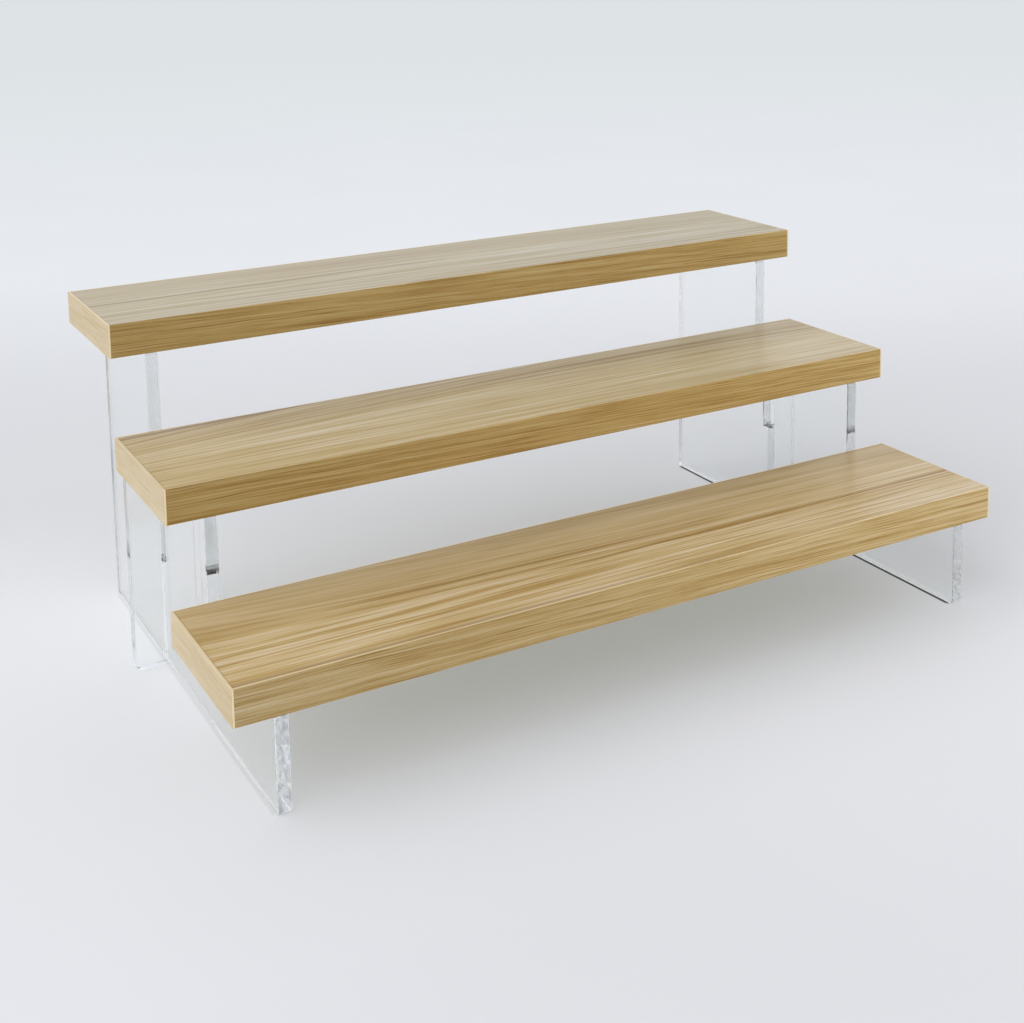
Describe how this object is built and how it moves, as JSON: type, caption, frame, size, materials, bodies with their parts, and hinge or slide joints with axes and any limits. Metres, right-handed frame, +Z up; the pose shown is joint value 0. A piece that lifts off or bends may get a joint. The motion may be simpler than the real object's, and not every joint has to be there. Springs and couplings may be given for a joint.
{
  "type": "tiered shelf riser",
  "caption": "Stepped display riser: long wood-look shelves lie loose on clear stepped end plates, each kept upright by a small cross brace.",
  "frame": {"origin": "on the floor, midway along the shelves and midway from front to back", "axes": "+X along the shelves towards the right end, +Y towards the back and the highest shelf, +Z up"},
  "size_m": [0.4, 0.237, 0.164],
  "materials": {
    "clear_acrylic": "polished, clear",
    "core_board": "raw fibreboard",
    "shelf_laminate": "satin, wood grain",
    "shelf_backing": "satin, wood grain",
    "long_edge_band": "satin, wood grain",
    "end_edge_band": "satin, wood grain"
  },
  "bodies": {
    "end_stands": {"left_step_plate": "clear_acrylic", "right_step_plate": "clear_acrylic", "left_cross_brace": "clear_acrylic", "right_cross_brace": "clear_acrylic"},
    "lower_shelf": {"lower_shelf_core_board": "core_board", "lower_shelf_top_laminate": "shelf_laminate", "lower_shelf_bottom_laminate": "shelf_backing", "lower_shelf_front_band": "long_edge_band", "lower_shelf_back_band": "long_edge_band", "lower_shelf_left_band": "end_edge_band", "lower_shelf_right_band": "end_edge_band"},
    "middle_shelf": {"middle_shelf_core_board": "core_board", "middle_shelf_top_laminate": "shelf_laminate", "middle_shelf_bottom_laminate": "shelf_backing", "middle_shelf_front_band": "long_edge_band", "middle_shelf_back_band": "long_edge_band", "middle_shelf_left_band": "end_edge_band", "middle_shelf_right_band": "end_edge_band"},
    "upper_shelf": {"upper_shelf_core_board": "core_board", "upper_shelf_top_laminate": "shelf_laminate", "upper_shelf_bottom_laminate": "shelf_backing", "upper_shelf_front_band": "long_edge_band", "upper_shelf_back_band": "long_edge_band", "upper_shelf_left_band": "end_edge_band", "upper_shelf_right_band": "end_edge_band"}
  },
  "joints": [
    {"name": "lower_shelf_lift", "type": "slide", "parent": "end_stands", "child": "lower_shelf", "axis": [0, 0, 1], "range_m": [0, 0.142]},
    {"name": "middle_shelf_lift", "type": "slide", "parent": "end_stands", "child": "middle_shelf", "axis": [0, 0, 1], "range_m": [0, 0.089]},
    {"name": "upper_shelf_lift", "type": "slide", "parent": "end_stands", "child": "upper_shelf", "axis": [0, 0, 1], "range_m": [0, 0.036]}
  ]
}
